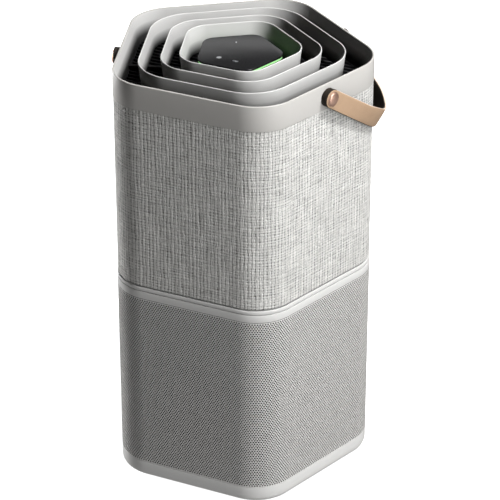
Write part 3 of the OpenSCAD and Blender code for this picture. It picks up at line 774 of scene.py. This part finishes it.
def build_sleeve():
    """The woven sleeve, with its yarn groups standing in low relief."""
    rng = np.random.default_rng(7)
    under = 0.75 * MM  # how far the cloth's ground lies inside the body's outline
    per_warp, per_weft = 3, 2  # points across a group, the first of them in the gap
    columns, rows = WARP_GROUPS * per_warp, WEFT_GROUPS * per_weft
    around = np.arange(columns) * PERIMETER / columns
    heights = np.linspace(FABRIC_LOW, FABRIC_TOP, rows + 1)
    warp_relief = np.where(np.arange(columns) % per_warp == 0, 0.0, 1.0)
    warp_relief *= np.repeat(rng.uniform(0.7, 1.0, WARP_GROUPS), per_warp)
    weft_relief = np.where(np.arange(rows + 1) % per_weft == 0, 0.0, 1.0)
    weft_relief *= rng.uniform(0.6, 1.0, rows + 1)
    relief = 0.15 * MM * warp_relief[None, :] + 0.13 * MM * weft_relief[:, None]
    relief += 0.05 * MM * rng.uniform(-1, 1, relief.shape)
    outline, outward = place(around, under)
    grid = np.zeros((rows + 1, columns, 3))
    grid[:, :, :2] = outline[None] + outward[None] * relief[..., None]
    grid[:, :, 2] = heights[:, None]
    tuck = 0.9 * MM
    tucked = outline - outward * tuck
    low = np.column_stack([tucked, np.full(columns, FABRIC_LOW + 0.05 * MM)])
    high = np.column_stack([tucked, np.full(columns, FABRIC_TOP - 0.05 * MM)])
    grid = np.concatenate([low[None], grid, high[None]])
    quads, row, column = grid_faces(rows + 3, columns, False, True)
    u = np.append(around, PERIMETER)[column]
    v = np.concatenate([[-tuck], heights - FABRIC_LOW, [heights[-1] - FABRIC_LOW + tuck]])[row]
    uv = np.stack([u, v], -1).reshape(-1, 2)
    points = grid.reshape(-1, 3)
    weave = materials["woven_fabric"]
    return make_piece("woven_sleeve", points, [quads], weave, "main", uv, sharp=80)


sleeve = build_sleeve()
stands_for(sleeve, "woven_fabric", "fabric_sleeve")


# ---- Perforated skin ----

# Rows of round holes, every other one shifted by half a pitch. The number of rows is odd, so
# the first and the last are alike.
HOLE_PITCH = PERIMETER / 302
ROW_PITCH = 2.3 * MM
ROWS = 91
HOLE_RADIUS = 1.06 * MM
HOLE_DEPTH = 0.9 * MM
SKIN_WALL = 1.2 * MM
DOOR_CUT = 73.5 * MM  # the door is the wall from this far behind the plan's middle
DOOR_SIDE = FRONT + 2 * TURN  # facing of the side that the door's first edge is cut in
DOOR_EDGE = (DOOR_CUT - APOTHEM * math.sin(DOOR_SIDE)) / math.cos(DOOR_SIDE)
DOOR_SLIT = 0.3 * MM  # half the gap beside the door


class Patch:
    """Collects vertices and quads in (station, height, depth) and wraps them round the plan."""

    def __init__(self):
        self.points, self.quads, self.count = [], [], 0

    def add(self, points, quads):
        self.points.append(points)
        self.quads.append(quads + self.count)
        self.count += len(points)

    def strip(self, s, low, high):
        """Plain quads between two heights, with a point at each station of s."""
        n = len(s)
        rows = [np.column_stack([s, np.full(n, z), np.zeros(n)]) for z in (low, high)]
        self.add(np.concatenate(rows), grid_faces(2, n, False, False)[0])

    def build(self, name, body):
        """The piece, with doubled points merged and painted shade on the walls of its holes."""
        flat = np.concatenate(self.points)
        merge_within = 0.002 * MM
        keys = np.round(flat / merge_within).astype(np.int64)
        _, first, back = np.unique(keys, axis=0, return_index=True, return_inverse=True)
        quads = back.reshape(-1)[np.concatenate(self.quads)]
        flat = flat[first]
        xy, outward = place(flat[:, 0])
        points = np.column_stack([xy - outward * flat[:, 2:3], flat[:, 1]])
        uv = flat[quads.ravel()][:, :2]
        piece = make_piece(name, points, [quads], materials["skin_metal"], body, uv, sharp=50)
        node = "front_skin" if body == "main" else "door_skin"
        stands_for(piece, "skin_metal", node)
        piece.data.materials.append(hole_wall_shade)
        depth = flat[:, 2][quads].max(axis=1)
        # The holes' upright walls take the darker material: painted shade.
        upright = (depth > 0) & (flat[:, 2][quads].min(axis=1) < depth)
        piece.data.polygons.foreach_set("material_index", upright.astype(np.int32))


def add_holes(patch, centres, heights):
    """A cell with an eight-sided hole, sunk walls included, at each centre and height."""
    w, h = HOLE_PITCH / 2, ROW_PITCH / 2
    rim = np.array([(w, 0), (w, h), (0, h), (-w, h), (-w, 0), (-w, -h), (0, -h), (w, -h)])
    a = np.arange(8) * math.pi / 4
    circle = HOLE_RADIUS * np.column_stack([np.cos(a), np.sin(a)])
    cell = np.concatenate([
        np.column_stack([rim, np.zeros(8)]),
        np.column_stack([circle, np.zeros(8)]),
        np.column_stack([circle, np.full(8, HOLE_DEPTH)]),
    ])
    i = np.arange(8)
    n = (i + 1) % 8
    quads = np.concatenate([
        np.column_stack([i, n, 8 + n, 8 + i]),
        np.column_stack([8 + i, 8 + n, 16 + n, 16 + i]),
    ])
    where = np.column_stack([centres, heights, np.zeros(len(centres))])
    points = (where[:, None, :] + cell[None]).reshape(-1, 3)
    faces = (np.arange(len(centres))[:, None, None] * len(cell) + quads[None]).reshape(-1, 4)
    patch.add(points, faces)


def build_skin(name, body, start, end, first, last, total, straight_left, straight_right):
    """Columns first to last, out of total, of a perforated wall between two stations.

    A side that is straight ends in a plain margin. The other side ends in the zigzag of its
    holes' cells, which fits the next piece's.
    """
    margin_s = (end - start - total * HOLE_PITCH) / 2
    margin_z = (SKIN_TOP - SKIN_LOW - ROWS * ROW_PITCH) / 2
    left = start + margin_s + first * HOLE_PITCH
    right = start + margin_s + last * HOLE_PITCH
    half = HOLE_PITCH / 2
    patch = Patch()
    count = last - first
    even = left + (np.arange(count) + 0.5) * HOLE_PITCH
    odd = even + half
    if straight_right:
        odd = odd[:-1]
    for row in range(ROWS):
        middle = SKIN_LOW + margin_z + (row + 0.5) * ROW_PITCH
        centres = odd if row % 2 else even
        add_holes(patch, centres, np.full(len(centres), middle))
        ends = []
        if straight_left:
            ends.append([start, left] + ([left + half] if row % 2 else []))
        if straight_right:
            ends.append(([right - half] if row % 2 else []) + [right, end])
        for s in ends:
            patch.strip(np.array(s), middle - ROW_PITCH / 2, middle)
            patch.strip(np.array(s), middle, middle + ROW_PITCH / 2)
    level = left + np.arange(2 * count + 1) * half
    margin = np.concatenate([[start] * straight_left, level, [end] * straight_right])
    patch.strip(margin, SKIN_LOW, SKIN_LOW + margin_z)
    patch.strip(margin, SKIN_TOP - margin_z, SKIN_TOP)
    # The sheet's own thickness shows where it ends.
    for shown, s, turn in ((straight_left, start, 1), (straight_right, end, -1)):
        if shown:
            points = np.array([(s, z, d) for d in (0, SKIN_WALL) for z in (SKIN_LOW, SKIN_TOP)])
            patch.add(points, np.array([[0, 1, 3, 2][::turn]]))
    patch.build(name, body)


door_start = 2 * SIDE_LENGTH + DOOR_EDGE
door_end = 3 * SIDE_LENGTH - DOOR_EDGE
front_span = (door_end + DOOR_SLIT, PERIMETER + door_start - DOOR_SLIT)
door_span = (door_start + DOOR_SLIT, door_end - DOOR_SLIT)


def build_screen_and_shade(name, body, span):
    """The black dust screen behind the perforated wall, also painted shade seen through its holes.
    """
    face = 1.0 * MM
    corners = ((face, SKIN_LOW), (face, SKIN_TOP), (SKIN_WALL, SKIN_TOP), (SKIN_WALL, SKIN_LOW))
    profile = [(x, z, CORNER - x) for x, z in corners]
    return loft(name, profile, screen_and_shade_cloth, body, span)


def build_skins(names, body, span):
    """A perforated wall between two stations, shared out over pieces with those names."""
    least_margin = 0.6 * MM
    total = int((span[1] - span[0] - 2 * least_margin) / HOLE_PITCH)
    cuts = [round(total * i / len(names)) for i in range(len(names) + 1)]
    for i, name in enumerate(names):
        build_skin(name, body, *span, cuts[i], cuts[i + 1], total, i == 0, i == len(names) - 1)


build_skins(("skin_rear_left", "skin_left", "skin_front", "skin_right"), "main", front_span)
build_skins(("skin_door_right", "skin_door_left"), "filter_door", door_span)
# The dust screens are also painted shade behind the holes.
stands_for(build_screen_and_shade("dust_screen_and_shade_front", "main", front_span), "dark_plastic", "front_skin")
stands_for(build_screen_and_shade("dust_screen_and_shade_door", "filter_door", door_span), "dark_plastic", "door_skin")


# ---- Strap handles ----

STRAP_HALF = HALF_FLAT + ARC_LENGTH / 2  # plan length from a stud to the corner's middle
BEND_SHARE = 0.2  # share of that length over which the strap rounds its lowest point
CLIMB_SLOPE = 1 / (1 - BEND_SHARE / 2)
# How far the strap's upper and lower edges stand off the body at the corner's middle. That
# changes to STAND_OFF for both over this share of the way to a stud.
LOOP_STAND_TOP, LOOP_STAND_LOW = 11.7 * MM, 1.2 * MM
FLARE_SHARE = 0.8


def strap_climb(w):
    """Share of the drop climbed at share w of the way from the corner to a stud, and its slope."""
    if w < BEND_SHARE:
        return CLIMB_SLOPE * w * w / (2 * BEND_SHARE), CLIMB_SLOPE * w / BEND_SHARE
    return CLIMB_SLOPE * (w - BEND_SHARE / 2), CLIMB_SLOPE


def strap_point(q, stand, height):
    """A point at plan length q from the stud, standing off the body, in the corner's own frame."""
    bend = q - HALF_FLAT
    turn = -HALF_TURN + min(max(bend / CORNER, 0), TURN)
    past = bend if bend < 0 else max(0.0, bend - ARC_LENGTH)
    r, c = CORNER + stand, CORNER_REACH - CORNER
    return (
        c + r * math.cos(turn) - past * math.sin(turn),
        r * math.sin(turn) + past * math.cos(turn),
        height,
    )


def strap_section(t, extra, half_width):
    """One cross-section at share t, from -1 at one stud to 1 at the other.

    Past a stud, extra is the distance into the strap's round tip.
    """
    w, side = abs(t), (-1 if t < 0 else 1)
    climb, slope = strap_climb(w)
    lean = math.atan(slope * STRAP_DROP / STRAP_HALF)
    flare = 0.0 if w > FLARE_SHARE else (1 + math.cos(math.pi * w / FLARE_SHARE)) / 2
    q0 = STRAP_HALF * (1 + t) + side * extra * math.cos(lean)
    z0 = STUD_HEIGHT - STRAP_DROP * (1 - climb) + extra * math.sin(lean)
    spread = LOOP_STAND_TOP - LOOP_STAND_LOW
    found = []
    for across, through in strap_ring(half_width):
        share = across / STRAP_WIDTH + 0.5
        stand = STAND_OFF + flare * (LOOP_STAND_LOW - STAND_OFF + spread * share)
        q = q0 - side * across * math.sin(lean)
        found.append(strap_point(q, stand + through, z0 + across * math.cos(lean)))
    return found


STRAP_EASE = 0.8 * MM
LINING = 1.0 * MM
FACE_STEPS = 6  # steps across the face, and across the lining
EDGE_POINTS = 6  # points up each cut edge


def strap_ring(half_width):
    """Cross-section of the strap: (across, through) points, and it starts on the lining."""
    ease = min(STRAP_EASE, half_width * 0.6)
    flat = half_width - ease
    crown = 0.12 * MM
    inner = [(x, 0.0) for x in np.linspace(-flat, flat, FACE_STEPS + 1)]
    up = [(half_width - 0.15 * MM, 0.25 * MM), (half_width - 0.05 * MM, LINING)]
    up.append((half_width, LINING + 0.3 * MM))
    for a in np.radians((0, 30, 60)):
        up.append((flat + ease * math.cos(a), STRAP_THICKNESS - ease + ease * math.sin(a)))
    outer = [
        (x, STRAP_THICKNESS + crown * (1 - (x / max(flat, 1e-6)) ** 2))
        for x in np.linspace(flat, -flat, FACE_STEPS + 1)
    ]
    down = [(-x, y) for x, y in reversed(up)]
    return inner + up + outer + down


def build_strap(name, corner, node):
    """A strap round one corner, hung from the studs of the two sides that meet there."""
    outward, sideways = directions(corner)
    half = STRAP_WIDTH / 2
    tip_angles = np.radians(np.linspace(6, 90, 12, endpoint=False))
    tip = [(half * math.cos(a), half * math.sin(a)) for a in tip_angles]
    sections = [strap_section(-1, reach, width) for reach, width in tip]
    sections += [strap_section(t, 0, half) for t in np.linspace(-1, 1, 111)]
    sections += [strap_section(1, reach, width) for reach, width in reversed(tip)]
    local = np.array(sections)
    rows, columns = local.shape[:2]
    flat = local.reshape(-1, 3)
    points = flat[:, :1] * outward + flat[:, 1:2] * sideways + flat[:, 2:] * np.array([0, 0, 1])
    points[:, 1] += PLAN_Y
    quads, row, column = grid_faces(rows, columns, False, True)
    quads = quads[:, ::-1]
    caps = np.arange(columns)[None, :], (rows - 1) * columns + np.arange(columns)[::-1][None, :]
    # Round the section: dark lining, pale upper cut edge, tan face, lower edge in painted shade.
    # The cut edges of the two tips are dark all the way round: painted shade.
    tan, dark, pale = 0, 1, 2
    slots = [materials["strap_leather"], materials["pad_leather"], edge_leather]
    along_ring = column[:, 0]
    face_start = FACE_STEPS + 1 + EDGE_POINTS
    kinds = np.full(len(quads), pale)
    kinds[along_ring < FACE_STEPS + 2] = dark
    kinds[(along_ring >= face_start - 1) & (along_ring <= face_start + FACE_STEPS)] = tan
    # The lower cut edge is dark: painted shade.
    kinds[along_ring > face_start + FACE_STEPS] = dark
    in_tip = (row[:, 0] < len(tip)) | (row[:, 0] >= rows - 1 - len(tip))
    # The tips' cut edges are dark: painted shade.
    kinds[in_tip & (kinds == pale)] = dark
    kinds = np.append(kinds, [dark] * len(caps))
    faces = [quads, np.concatenate(caps)]
    piece = make_piece(name, points, faces, slots, None, face_material=kinds, sharp=60)
    stands_for(piece, "strap_leather", node)
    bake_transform(piece)
    return piece


# Each strap hangs at a corner, which is half a side on from the side before it.
build_strap("strap_handle_right", 1.5, "strap_right")
build_strap("strap_handle_left", 3.5, "strap_left")


def build_studs():
    """Four domed studs with a narrow turned rim."""
    base = STAND_OFF + STRAP_THICKNESS + 0.1 * MM
    rim, dome = 0.7 * MM, 2.9 * MM
    profile = [(0, base), (STUD_RADIUS - 0.4 * MM, base), (STUD_RADIUS, base + 0.3 * MM)]
    profile += [(STUD_RADIUS, base + rim - 0.2 * MM), (STUD_RADIUS - 0.3 * MM, base + rim)]
    shoulder = STUD_RADIUS - 0.7 * MM
    for a in np.linspace(0, math.pi / 2, 11):
        profile.append((shoulder * math.cos(a), base + rim + (dome - rim) * math.sin(a)))
    up = np.array([0, 0, 1.0])
    frames = []
    for side in (1, 2, 3, 4):
        outward, sideways = directions(side)
        origin = outward * APOTHEM + np.array([0, PLAN_Y, STUD_HEIGHT])
        frames.append((origin, outward, sideways, up))
    return lathe("stud_heads", profile, frames, materials["copper_stud"], "main")


stands_for(build_studs(), "copper_stud", "studs")


# ---- Stage, light and camera ----


def lamp(name, location, target, size, power):
    """A white area lamp aimed at a target.

    Its light isn't passed on between surfaces (max_bounces is 0), because the walls of the
    outlet that face away from the key lamp are nearly black in the photograph.
    """
    data = bpy.data.lights.new(name, "AREA")
    data.shape = "RECTANGLE"
    data.size, data.size_y = size
    data.energy = power
    data.cycles.max_bounces = 0
    made = bpy.data.objects.new(name, data)
    bpy.context.scene.collection.objects.link(made)
    made.location = location
    made.rotation_mode = "QUATERNION"
    made.rotation_quaternion = (Vector(target) - Vector(location)).to_track_quat("-Z", "Y")
    return made


def build_stage():
    """A pale floor and a white surround. Only the camera sees them, so they light nothing."""
    white = (1, 1, 1, 1)
    floor_paint = Shader("floor_paint", roughness=0.8, specular=0.1)
    cloud = floor_paint.noise(floor_paint.objects(), 2.0)
    tint = floor_paint.mix(cloud, shade(white, 0.90), shade(white, 0.93))
    floor_paint.link(tint, "Base Color")
    floor_paint.set("Emission Color", white)
    floor_paint.set("Emission Strength", 1.0)
    bpy.ops.mesh.primitive_plane_add(size=14, location=(0, 0, 0))
    floor = bpy.context.object
    floor.name = "floor"
    floor.data.materials.append(floor_paint.material)
    surround = Shader("surround", roughness=1.0, specular=0.0)
    surround.set("Base Color", (0, 0, 0, 1))
    surround.set("Emission Color", white)
    surround.set("Emission Strength", 1.0)
    bpy.ops.mesh.primitive_uv_sphere_add(
        segments=48, ring_count=24, radius=6.9, location=(0, 0, 0)
    )
    dome = bpy.context.object
    dome.name = "surround"
    dome.data.materials.append(surround.material)
    for piece in (floor, dome):
        piece.visible_diffuse = False
        piece.visible_glossy = False
        piece.visible_transmission = False
    dome.visible_shadow = False


def build_light():
    """A tall key lamp at the right and a smaller one high above it, with weak light all round.

    The front and left lamps stand low and lighten the skin. The bounce card lies on the floor
    and shines up. The sheen card hangs behind and above the panel, and its reflection makes
    the panel paler at the back, as in the photograph.
    """
    world = bpy.data.worlds.new("studio")
    world.use_nodes = True
    background = world.node_tree.nodes["Background"]
    background.inputs["Color"].default_value = (1, 0.96, 0.90, 1)
    background.inputs["Strength"].default_value = 0.012
    bpy.context.scene.world = world
    lamp("key", (1.11, -0.42, 0.86), (0, 0, 0.66), (0.45, 1.7), 11.3)
    lamp("high", (1.15, -0.10, 2.2), (0, 0, 0.4), (0.45, 0.45), 43)
    lamp("rim", (0.3, 0.9, 2.3), (0, 0, 0.4), (0.6, 0.6), 10)
    lamp("back", (-1.95, 2.2, 2.0), (0, 0, 0.45), (1.0, 1.0), 1)
    lamp("front", (-0.35, -2.2, 0.26), (0, 0, 0.26), (1.4, 0.46), 0.8)
    lamp("left", (-1.55, 0.42, 0.24), (0, 0, 0.24), (0.5, 0.46), 30)
    bounce = lamp("bounce", (0.3, -0.2, 0.004), (0.3, -0.2, 1), (2.4, 2.4), 6.0)
    sheen = lamp("sheen", (-0.08, 0.17, 0.565), (-0.01, 0, 0.493), (0.14, 0.035), 0.018)
    for card in (bounce, sheen):
        card.visible_camera = False


# Found by fitting the outlines of the rim, rings, seams and base to the photograph.
CAMERA_AZIMUTH = math.radians(24.91)
CAMERA_ELEVATION = math.radians(28.81)
CAMERA_DISTANCE = 2.855
CAMERA_TARGET = Vector((0.01355, PLAN_Y - 0.00014, 0.2536))
CAMERA_LENS, CAMERA_SENSOR = 184.35, 36


def build_camera():
    """The camera at the photograph's angle."""
    back = Vector((
        math.sin(CAMERA_AZIMUTH) * math.cos(CAMERA_ELEVATION),
        -math.cos(CAMERA_AZIMUTH) * math.cos(CAMERA_ELEVATION),
        math.sin(CAMERA_ELEVATION),
    ))
    data = bpy.data.cameras.new("camera")
    data.sensor_width, data.lens = CAMERA_SENSOR, CAMERA_LENS
    data.clip_start, data.clip_end = 0.05, 60
    camera = bpy.data.objects.new("camera", data)
    bpy.context.scene.collection.objects.link(camera)
    camera.location = CAMERA_TARGET + back * CAMERA_DISTANCE
    camera.rotation_mode = "QUATERNION"
    camera.rotation_quaternion = (-back).to_track_quat("-Z", "Y")
    bpy.context.scene.camera = camera


build_stage()
build_light()
build_camera()
bpy.context.scene.view_settings.view_transform = "Standard"
